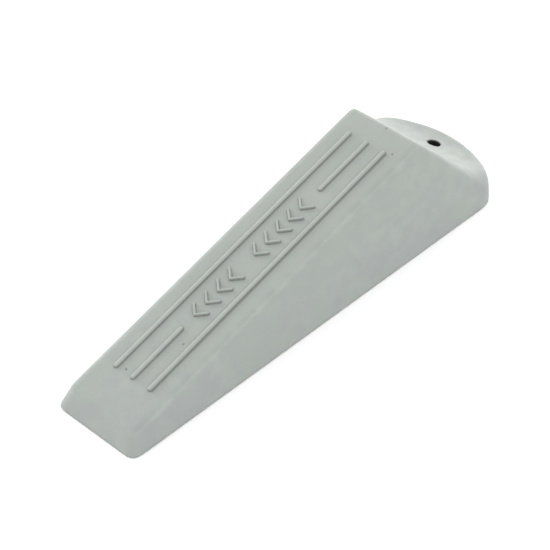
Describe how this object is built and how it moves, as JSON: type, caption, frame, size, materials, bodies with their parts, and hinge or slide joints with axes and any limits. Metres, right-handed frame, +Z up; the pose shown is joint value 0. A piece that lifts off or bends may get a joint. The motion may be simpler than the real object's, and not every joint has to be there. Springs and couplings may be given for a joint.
{
  "type": "rubber door wedge",
  "caption": "One-piece rubber door wedge: sloping top with raised rails and chevrons, drafted sides, scooped back and a low round heel with a hanging hole.",
  "frame": {"origin": "middle of the footprint, on the surface that the wedge lies on", "axes": "+X from the thin end to the thick end, +Z up, the wedge is the same on both sides of the XZ plane"},
  "size_m": [0.181, 0.0586, 0.0365],
  "materials": {
    "grey_rubber": "matte moulded rubber, pale grey"
  },
  "bodies": {
    "root": {"wedge_body": "grey_rubber"}
  },
  "joints": []
}
